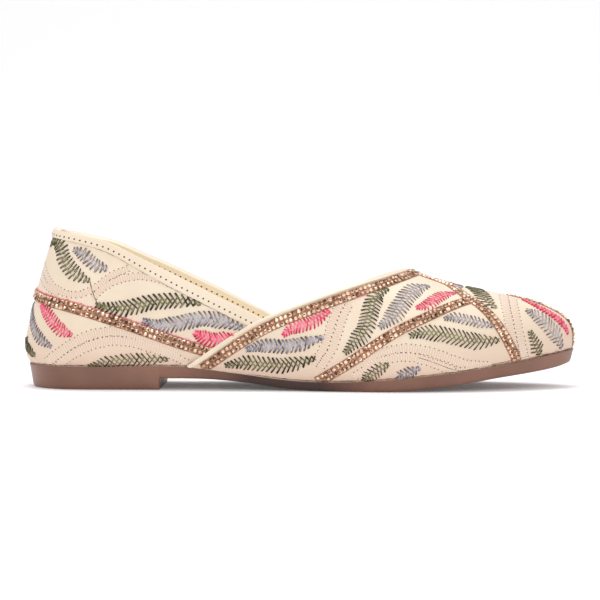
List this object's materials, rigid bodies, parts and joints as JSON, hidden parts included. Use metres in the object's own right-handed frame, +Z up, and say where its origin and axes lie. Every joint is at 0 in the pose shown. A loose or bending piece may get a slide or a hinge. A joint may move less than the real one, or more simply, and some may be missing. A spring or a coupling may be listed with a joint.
{
  "type": "embroidered flat shoe",
  "caption": "Low-cut embroidered slip-on flat with a lapped vamp, bound collar, stone tape trims and a thin moulded sole with a low heel.",
  "frame": {"origin": "middle of the bounding box's underside, on the floor the shoe stands on", "axes": "+X towards the toe, +Y towards the inner side of the foot, +Z up"},
  "size_m": [0.2476, 0.0764, 0.0715],
  "materials": {
    "sole_unit": "satin",
    "upper_leather": "satin",
    "insole_leather": "matt",
    "binding_leather": "satin",
    "stone_tape": "cut stones in a metallic copper colour"
  },
  "bodies": {
    "root": {"outsole": "sole_unit", "upper": "upper_leather", "insole": "insole_leather", "topline_binding": "binding_leather", "vamp_edging": "binding_leather", "heel_trim": "stone_tape", "throat_trim": "stone_tape", "cross_trim_outer": "stone_tape", "cross_trim_inner": "stone_tape", "toe_trim_outer": "stone_tape", "toe_trim_inner": "stone_tape", "centre_trim": "stone_tape"}
  },
  "joints": []
}
